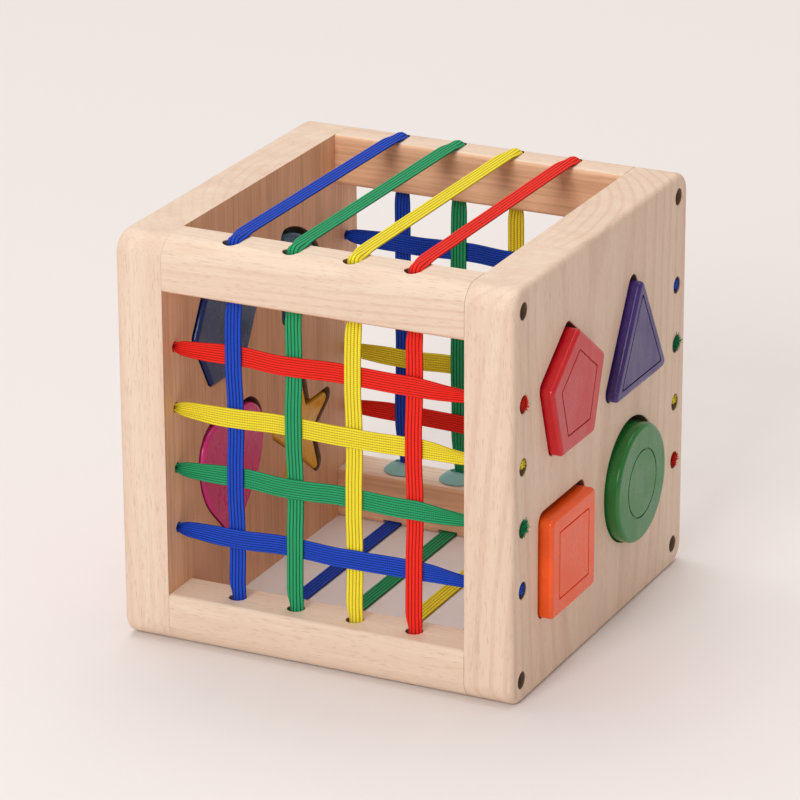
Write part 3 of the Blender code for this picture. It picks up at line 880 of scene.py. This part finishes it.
def make_screw(node):
    low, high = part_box(node)
    side = 1 if low.x > 0 else -1
    centre = (low + high) / 2
    seat = side * (SCREW_SEAT + 0.0003)
    top, tip = (high.x, low.x) if side > 0 else (low.x, high.x)
    head = add_bore(seat, top, centre.y, centre.z, HEAD_R, 36)
    head.name = f"finished_{node}"
    bevel_edges(head, on_plane("x", top), 0.0011, 4)
    start, end = sorted((top - side * ARM_DEPTH, top + side * 0.001))
    for reach in (Vector((0, ARM_HALF, ARM_THIN)), Vector((0, ARM_THIN, ARM_HALF))):
        low_corner = Vector((start, centre.y, centre.z)) - reach
        cut(head, add_block("arm", low_corner, Vector((end, centre.y, centre.z)) + reach))
    shank = add_bore(tip, seat - side * 0.00005, centre.y, centre.z, SHANK_R, 24)
    select_edges(shank, on_plane("x", tip))
    pivot = Vector((tip, centre.y, centre.z))
    bpy.ops.transform.resize(value=(1, 0.3, 0.3), center_override=pivot)
    bpy.ops.object.mode_set(mode="OBJECT")
    pick(head, shank)
    bpy.ops.object.join()
    smooth(head)
    return head


for node in SCREWS:
    finish_piece(make_screw(node), screw_finish.material, "frame", "screw", node)

# %% [markdown]
# ## The straps
#
# A strap changes its section as it goes: flat and ribbed on the open side, drawn in at a hole,
# rolled into a small gutter where it enters its bore. No modifier does that, so the strap is laid
# out in code as a row of rings, one every millimetre or two. Each ring is bent by its own angle,
# from nothing where the strap is flat to almost a full tube at the bore.


# %% Rings along a strap
def strap_ring(width, thickness, bend, ribs, depth, per_rib):
    """Points (across, out) and U values round a section that is bent towards +out by an angle."""
    count = ribs * per_rib
    u = np.linspace(0, 1, count + 1)
    rib = np.abs(np.sin(np.pi * ribs * u)) ** 0.5
    edge = np.sqrt(np.clip(1 - np.abs(2 * u - 1) ** 9, 0, 1))
    half = thickness / 2 * (1 - depth + depth * rib) * (0.25 + 0.75 * edge)
    angle = bend * (u - 0.5)
    if bend > 1e-3:
        radius = width / bend
        across = radius * np.sin(angle)
        out = radius * (1 - np.cos(angle))
        out = out - radius * (1 - math.sin(bend / 2) / (bend / 2))
    else:
        across = width * (u - 0.5)
        out = np.zeros_like(u)
    normal_a, normal_o = -np.sin(angle), np.cos(angle)
    front = np.stack([across + normal_a * half, out + normal_o * half], 1)
    rear = np.stack([across - normal_a * half, out - normal_o * half], 1)[::-1]
    return np.concatenate([front, rear]), np.concatenate([u, u[::-1]])


def skinned(name, points, faces, mapped, sharp_from):
    """One mesh, with a U and a V for every corner. Edges sharper than the angle stay sharp."""
    data = bpy.data.meshes.new(name)
    data.from_pydata([tuple(p) for p in points], [], faces)
    layer = data.uv_layers.new(name="strap")
    layer.data.foreach_set("uv", np.array(mapped, dtype=np.float32).ravel())
    item = bpy.data.objects.new(name, data)
    bpy.context.scene.collection.objects.link(item)
    turn_outwards(item)
    bpy.ops.object.shade_smooth_by_angle(angle=math.radians(sharp_from))
    return item


def strap_mesh(name, stations, ribs, depth, per_rib, closed, map_width):
    """Skins the stations: dicts of centre, across, out, width, thickness and bend."""
    rows, lengths = [], [0.0]
    for i, s in enumerate(stations):
        ring, u = strap_ring(s["width"], s["thickness"], s["bend"], ribs, depth, per_rib)
        rows.append(s["centre"] + ring[:, :1] * s["across"] + ring[:, 1:] * s["out"])
        if i:
            step = np.linalg.norm(s["centre"] - stations[i - 1]["centre"])
            lengths.append(lengths[-1] + step)
    if closed:
        step = np.linalg.norm(stations[0]["centre"] - stations[-1]["centre"])
        lengths.append(lengths[-1] + step)
    points = np.concatenate(rows)
    size = len(u)
    total = len(rows)
    faces, mapped = [], []
    for i in range(total if closed else total - 1):
        after = (i + 1) % total
        for j in range(size):
            k = (j + 1) % size
            faces.append((i * size + j, i * size + k, after * size + k, after * size + j))
            v0, v1 = lengths[i] / map_width, lengths[i + 1] / map_width
            mapped += [(u[j], v0), (u[k], v0), (u[k], v1), (u[j], v1)]
    if not closed:
        for i, order in ((0, range(size - 1, -1, -1)), (total - 1, range(size))):
            faces.append(tuple(i * size + j for j in order))
            mapped += [(0.5, lengths[i] / map_width)] * size
    return skinned(name, points, faces, mapped, 50)


def ease(value):
    value = np.clip(value, 0, 1)
    return value * value * (3 - 2 * value)


# %% [markdown]
# ## The level straps
#
# A level strap passes in front of one upright and behind the next. The offsets are set where it
# crosses and joined by smooth curves between. Over the last stretch it rolls up: the two edges
# come forward and almost meet, and the strap goes into its bore as a small gutter.

# %% Colours and level straps
# Each colour, and how bright the painted shade in its rib valleys is.
STRAP_COLOURS = {
    "blue": ((0.012, 0.062, 0.50), 0.20),
    "green": ((0.022, 0.32, 0.13), 0.25),
    "yellow": ((0.97, 0.68, 0.035), 0.46),
    "red": ((0.97, 0.022, 0.012), 0.34),
}
STRAP_T = 0.00084
LEVEL_LIFT = 0.00064
LOOP_LIFT = 0.00036
BAND_W = 0.0072
LOOP_W = 0.0064
MOUTH = WIDTH / 2 - PANEL_T
# How far a level strap is rolled (the angle of its section's arc) at distances from its bore.
ROLL_AT = (0.0, 0.0012, 0.0035, 0.0070, 0.0110, 0.0160, 0.0215)
ROLL_ANGLE = (5.2, 3.9, 2.55, 2.05, 1.55, 0.65, 0.05)
ROLL_LENGTH = ROLL_AT[-1]
# Half of the stretch over which a strap keeps its offset at a crossing.
LEVEL_HOLD, LOOP_HOLD = 0.0036, 0.0046


def weave_side(row, column):
    """+1 where the upright strap passes outside the level one."""
    return 1 if (row + column) % 2 == 0 else -1


def woven(along, places, lifts, half):
    """Offset at each value of along: a lift held flat at each place, eased between."""
    knots = [-1.0]
    values = [0.0]
    for place, lift in zip(places, lifts):
        knots += [place - half, place + half]
        values += [lift, lift]
    knots.append(1.0)
    values.append(0.0)
    result = np.zeros_like(along)
    for i in range(len(knots) - 1):
        inside = (along >= knots[i]) & (along < knots[i + 1])
        share = ease((along[inside] - knots[i]) / (knots[i + 1] - knots[i]))
        result[inside] = values[i] + (values[i + 1] - values[i]) * share
    return result


def level_strap(name, back, row, seed):
    z = STRAP_Z[row]
    xs = np.concatenate([
        np.linspace(-KNOT_SEAT, -MOUTH, 5)[:-1],
        np.linspace(-MOUTH, -MOUTH + ROLL_LENGTH, 16)[:-1],
        np.linspace(-MOUTH + ROLL_LENGTH, MOUTH - ROLL_LENGTH, 58),
        np.linspace(MOUTH - ROLL_LENGTH, MOUTH, 16)[1:],
        np.linspace(MOUTH, KNOT_SEAT, 5)[1:],
    ])
    lifts = [-back * weave_side(row, column) * LEVEL_LIFT for column in range(4)]
    places = [-MOUTH, *STRAP_X, MOUTH]
    shift = woven(xs, places, [0, *lifts, 0], LEVEL_HOLD)
    rng = random.Random(seed)
    sway = [rng.uniform(-1, 1) for _ in range(4)]
    stations = []
    for x, y_shift in zip(xs, shift):
        opened = min(1.0, max(0.0, (MOUTH - abs(x)) / ROLL_LENGTH))
        bend = float(np.interp(MOUTH - abs(x), ROLL_AT, ROLL_ANGLE))
        lean = math.radians(20) * (1 - opened) * (1 if x < 0 else -1) + 0.03 * sway[0]
        wobble = 0.00016 * math.sin(9 * math.pi * x / WIDTH + 3 * sway[1]) * opened
        across = np.array([0, math.sin(lean), math.cos(lean)])
        out = np.array([0, -math.cos(lean), math.sin(lean)])
        stations.append({
            "centre": np.array([x, back * STRAP_Y + y_shift, z + wobble]),
            "across": across,
            "out": out,
            "width": BAND_W * (0.76 + 0.24 * opened**0.35),
            "thickness": STRAP_T * (0.8 + 0.2 * opened),
            "bend": bend,
        })
    return strap_mesh(
        name, stations, ribs=8, depth=0.36, per_rib=5, closed=False, map_width=BAND_W
    )


# %% [markdown]
# ## Knots
#
# A knot keeps each end of a strap from being pulled back. It is the cord wound round itself, so
# a tube is swept along a trefoil, the simplest knotted curve. A short tail comes out of it,
# and its cut end frays into fine threads, more in the red and green straps than in the others.


# %% Knots and frayed ends
def tube_rings(path, radius, sides):
    path = np.array(path)
    tangents = np.gradient(path, axis=0)
    tangents /= np.linalg.norm(tangents, axis=1)[:, None]
    rings = []
    helper = np.array([0.3, 0.5, 0.8])
    for point, tangent, size in zip(path, tangents, radius):
        first = np.cross(tangent, helper)
        first /= np.linalg.norm(first)
        second = np.cross(tangent, first)
        turns = 2 * np.pi * np.arange(sides) / sides
        around = np.cos(turns)[:, None] * first + np.sin(turns)[:, None] * second
        rings.append(point + size * around)
    return rings


def join_tubes(name, tubes, map_width):
    """One mesh of several tubes, each capped, with U round the tube and V along it."""
    points, faces, mapped = [], [], []
    for rings in tubes:
        start, sides = len(points), len(rings[0])
        for ring in rings:
            points += [tuple(p) for p in ring]
        length = 0.0
        for i in range(len(rings) - 1):
            step = float(np.linalg.norm(rings[i + 1].mean(0) - rings[i].mean(0)))
            v0, v1 = length / map_width, (length + step) / map_width
            length += step
            for j in range(sides):
                k = (j + 1) % sides
                a, b = start + i * sides, start + (i + 1) * sides
                faces.append((a + j, a + k, b + k, b + j))
                u0, u1 = j / sides, (j + 1) / sides
                mapped += [(u0, v0), (u1, v0), (u1, v1), (u0, v1)]
        last = start + (len(rings) - 1) * sides
        faces.append(tuple(start + j for j in reversed(range(sides))))
        faces.append(tuple(last + j for j in range(sides)))
        mapped += [(0.5, 0.0)] * (2 * sides)
    return skinned(name, points, faces, mapped, 60)


# How far each end stands out of the panel's face, its radius, how high it sits in the bore, and
# how many loose threads it has and how long they are.
ENDS = {
    "red": (0.0004, 0.0020, 0.0003, 190, 0.0019),
    "green": (0.0005, 0.0019, 0.0006, 190, 0.0021),
    "blue": (0.0001, 0.0023, 0.0002, 60, 0.0010),
    "yellow": (0.0001, 0.0017, 0.0011, 60, 0.0011),
}


THREAD_REACH = 0.0028  # a thread inside the bore stays this close to its middle


def knot(name, side, y, z, colour, seed):
    rng = random.Random(seed)
    stand, radius, lift, count, length = ENDS[colour]
    seat = KNOT_SEAT + 0.0002
    steps = 60
    turns = np.linspace(0, 2 * np.pi, steps + 1)
    scale = 0.00052
    a = (np.sin(turns) + 2 * np.sin(2 * turns)) * scale
    b = (np.cos(turns) - 2 * np.cos(2 * turns)) * scale
    c = -np.sin(3 * turns) * 0.0007 + 0.0019
    spin = rng.uniform(0, 2 * math.pi)
    path = np.stack([
        side * (seat + c),
        y + a * math.cos(spin) - b * math.sin(spin),
        z + a * math.sin(spin) + b * math.cos(spin),
    ], 1)
    tubes = [tube_rings(path, np.full(steps + 1, 0.00108), 12)]

    tail_end = WIDTH / 2 + stand
    xs = np.linspace(seat + 0.0020, tail_end, 14)
    share = (xs - xs[0]) / (xs[-1] - xs[0])
    tail = np.stack([
        side * xs,
        y + 0.0002 * np.sin(share * 5 + spin),
        z + lift * share + 0.0001 * np.cos(share * 7),
    ], 1)
    dome = np.sqrt(np.clip(1 - np.clip((share - 0.72) / 0.30, 0, 1) ** 2, 0.02, 1))
    tubes.append(tube_rings(tail, radius * dome * (0.85 + 0.15 * share), 22))

    for _ in range(count):
        angle = rng.uniform(0, 2 * math.pi)
        reach = radius * math.sqrt(rng.random())
        back_off = 0.0002 + 0.0012 * (reach / radius) ** 2
        start = np.array([
            side * (tail_end - back_off),
            y + reach * math.cos(angle),
            z + lift + reach * math.sin(angle),
        ])
        spread = rng.uniform(0.1, 0.9)
        direction = np.array([
            side * rng.uniform(0.15, 0.9),
            spread * math.cos(angle + rng.uniform(-0.7, 0.7)),
            spread * math.sin(angle + rng.uniform(-0.7, 0.7)) + 0.15,
        ])
        direction /= np.linalg.norm(direction)
        curl = np.array([side * rng.uniform(-0.8, 0.2), rng.uniform(-1, 1), rng.uniform(-1, 0.9)])
        own = length * rng.uniform(0.3, 1.0)
        t = np.linspace(0, 1, 6)[:, None]
        path = start + direction * own * t + curl * own * 0.45 * t * t
        inside = side * path[:, 0] < WIDTH / 2
        for axis, middle_of in ((1, y), (2, z)):
            off = np.clip(path[inside, axis] - middle_of, -THREAD_REACH, THREAD_REACH)
            path[inside, axis] = middle_of + off
        tubes.append(tube_rings(path, np.linspace(0.00013, 0.00008, 6), 4))
    return join_tubes(name, tubes, BAND_W)


level_finishes = {
    colour: elastic_finish(f"{colour}_level_elastic", *look, 8, 0.80, 11)
    for colour, look in STRAP_COLOURS.items()
}
for back, where, colours in ((-1, "front", FRONT_BANDS), (1, "rear", REAR_BANDS)):
    for row, colour in enumerate(colours):
        node = f"{where}_{colour}_band"
        seed = 10 * row + (back + 1)
        strap = level_strap(f"finished_{node}", back, row, seed)
        y, z = back * STRAP_Y, STRAP_Z[row]
        ends = [
            knot(f"knot_{row}_{side}", side, y, z, colour, seed + 5 * side + 40)
            for side in (-1, 1)
        ]
        pick(strap, *ends)
        bpy.ops.object.join()
        finish_piece(strap, level_finishes[colour], "frame", f"{colour}_elastic", node)

# %% [markdown]
# ## The straps that run round the cube
#
# These four are closed loops. They come up the front, over the top, down the back and under the
# cube, through holes in all four rails. A hole is narrower than the strap, so the strap rolls up
# there, with its ribs on the outside, and flattens out again past it.

# %% Make the loop straps
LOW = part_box("blue_loop_strap")[0].z + STRAP_T / 2
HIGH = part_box("blue_loop_strap")[1].z - STRAP_T / 2 - 0.0001
COLLAR_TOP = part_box("blue_strap_collar")[1].z
BEND_R = 0.0020
SIDE_SHIFT = 0.0006  # the straps lie a little to one side in their holes


def loop_points():
    """(y, z, outward y, outward z) every millimetre or so, up the front and round."""
    y = STRAP_Y
    points = []

    def straight(start, end, count, outward):
        for share in np.linspace(0, 1, count, endpoint=False):
            points.append((*(a + (b - a) * share for a, b in zip(start, end)), *outward))

    def corner(cy, cz, start_angle):
        for share in np.linspace(0, 1, 9, endpoint=False):
            angle = start_angle - math.pi / 2 * share
            out_y, out_z = math.cos(angle), math.sin(angle)
            points.append((cy + BEND_R * out_y, cz + BEND_R * out_z, out_y, out_z))

    straight((-y, LOW + BEND_R), (-y, HIGH - BEND_R), 110, (-1, 0))
    corner(-y + BEND_R, HIGH - BEND_R, math.pi)
    straight((-y + BEND_R, HIGH), (y - BEND_R, HIGH), 80, (0, 1))
    corner(y - BEND_R, HIGH - BEND_R, math.pi / 2)
    straight((y, HIGH - BEND_R), (y, LOW + BEND_R), 110, (1, 0))
    corner(y - BEND_R, LOW + BEND_R, 0)
    straight((y - BEND_R, LOW), (-y + BEND_R, LOW), 80, (0, -1))
    corner(-y + BEND_R, LOW + BEND_R, -math.pi / 2)
    return np.array(points)


def gathered(y, z):
    """How far a strap is rolled at a point of its route: 1 in a hole, 0 where it lies flat."""
    if z > HEIGHT - 0.0005 or z < 0.003:
        return float(ease(1 - (STRAP_Y - BEND_R - abs(y)) / 0.009))
    from_top = 1 - ease((HEIGHT - RAIL_HEIGHT - z) / 0.009)
    foot = COLLAR_TOP if y > 0 else RAIL_HEIGHT
    from_foot = 1 - ease((z - foot) / (0.016 if y > 0 else 0.007))
    return float(max(from_top, from_foot))


def loop_strap(name, column, seed):
    points = loop_points()
    rng = random.Random(seed)
    phase = rng.uniform(0, 6.28)
    order = np.argsort(STRAP_Z)
    heights = [STRAP_Z[i] for i in order]
    lifts = [weave_side(int(i), column) * LOOP_LIFT for i in order]
    places = [RAIL_HEIGHT, *heights, HEIGHT - RAIL_HEIGHT]
    shift = woven(points[:, 1], places, [0, *lifts, 0], LOOP_HOLD)
    stations = []
    for (y, z, out_y, out_z), lift in zip(points, shift):
        on_side = abs(out_y) > 0.99
        rolled = gathered(y, z)
        wobble = 0.00010 * math.sin(2 * math.pi * z / 0.061 + phase) if on_side else 0.0
        sign = 1 if y > 0 else -1
        # Low down, the strap leans on the outer wall of its hole.
        low_down = (1 - ease((z - RAIL_HEIGHT + 0.003) / 0.022)) * ease((z - 0.004) / 0.008)
        place_y = y + sign * (lift + 0.0009 * low_down) if on_side else y
        x = STRAP_X[column] + wobble + SIDE_SHIFT * (0.3 + 0.7 * rolled)
        narrowed = y > 0 and z < HEIGHT / 2
        width = LOOP_W * (1 - (0.30 if narrowed else 0.06) * rolled)
        # Under the cube there is only a shallow groove, so the strap stays nearly flat there.
        roundness = 0.8 if narrowed else 0.8 + 1.4 * ease((z - 0.004) / 0.008)
        bend = 0.06 + roundness * rolled**1.3
        bulge = width / bend * (1 - math.sin(bend / 2) / (bend / 2))
        # The edges turn towards the inside of the loop, so the section bends the other way.
        stations.append({
            "centre": np.array([x, place_y, z + bulge * max(0.0, -out_z)]),
            "across": np.array([1.0, 0, 0]),
            "out": np.array([0, -out_y, -out_z]),
            "width": width,
            "thickness": STRAP_T,
            "bend": bend,
        })
    return strap_mesh(name, stations, ribs=5, depth=0.42, per_rib=7, closed=True, map_width=LOOP_W)


loop_finishes = {
    colour: elastic_finish(f"{colour}_loop_elastic", *look, 5, 0.92, 9)
    for colour, look in STRAP_COLOURS.items()
}
for column, colour in enumerate(LOOPS):
    node = f"{colour}_loop_strap"
    strap = loop_strap(f"finished_{node}", column, 70 + column)
    finish_piece(strap, loop_finishes[colour], "frame", f"{colour}_elastic", node)

# %% [markdown]
# ## The collars
#
# A soft collar sits where each rear strap enters the bottom rail. It is a low cone with a rounded
# rim and a slit for the strap, moulded in a matt rubbery plastic.

# %% Make the collars
collar_finish = Finish("soft_teal_plastic", Roughness=0.55, Specular_IOR_Level=0.4)
mottle = collar_finish.noise(collar_finish.place(), (260, 260, 260))
teal = collar_finish.blend(mottle, shade(0.19, 0.43, 0.42), shade(0.30, 0.56, 0.54))
collar_finish.set("Base Color", teal)
collar_finish.set("Roughness", mottle * 0.2 + 0.45)
collar_finish.bump(mottle, 0.00005, 0.4)


def make_collar(node):
    low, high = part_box(node)
    centre = (low + high) / 2
    height = high.z - low.z
    radius = (high.x - low.x) / 2
    deselect()
    size = {"vertices": 64, "radius1": radius, "radius2": radius * 0.52, "depth": height}
    bpy.ops.mesh.primitive_cone_add(location=centre, **size)
    collar = settle(bpy.context.object, f"finished_{node}")
    bevel_edges(collar, on_plane("z", high.z), 0.0012, 5)
    bevel_edges(collar, on_plane("z", low.z), 0.0005, 3)
    reach = Vector((0.0030, 0.0011, 0))
    slit_low = Vector((centre.x, centre.y, low.z - 0.001)) - reach
    slit_high = Vector((centre.x, centre.y, high.z + 0.001)) + reach
    cut(collar, add_block("slit", slit_low, slit_high))
    smooth(collar)
    return collar


for colour in LOOPS:
    node = f"{colour}_strap_collar"
    finish_piece(make_collar(node), collar_finish.material, "frame", "collar", node)

# %% [markdown]
# ## Floor and light
#
# The toy stands on a plain pale floor. A soft lamp in front, a little above the toy, gives the
# front its brightness and leaves the right side in gentle shade. A larger one overhead lights the
# top and keeps the shadows faint, and the pale surroundings fill the rest.

# %% Floor and light
deselect()
bpy.ops.mesh.primitive_plane_add(size=8, location=(0, 0, 0))
floor = bpy.context.object
floor.name = "floor"
floor_finish = Finish("pale_floor", Roughness=0.9)
floor_tone = floor_finish.noise(floor_finish.place(), (3, 3, 3), 2.0)
pale = floor_finish.blend(floor_tone, shade(0.845, 0.805, 0.800), shade(0.855, 0.815, 0.810))
floor_finish.set("Base Color", pale)
floor.data.materials.append(floor_finish.material)

world = bpy.data.worlds.new("studio")
bpy.context.scene.world = world
world.use_nodes = True
surround = world.node_tree.nodes["Background"]
surround.inputs["Color"].default_value = (1.0, 0.92, 0.85, 1.0)
surround.inputs["Strength"].default_value = 0.475


def add_lamp(name, place, target, size, power):
    data = bpy.data.lights.new(name, "AREA")
    data.shape = "RECTANGLE"
    data.size = data.size_y = size
    data.energy = power
    lamp = bpy.data.objects.new(name, data)
    bpy.context.scene.collection.objects.link(lamp)
    lamp.location = place
    lamp.rotation_euler = (Vector(target) - Vector(place)).to_track_quat("-Z", "Y").to_euler()


add_lamp("key", (0.0, -2.3, 1.35), (0, 0, 0.06), 0.9, 28)
add_lamp("top", (-0.6, 0.9, 3.4), (0, 0.4, 0.0), 3.2, 66)
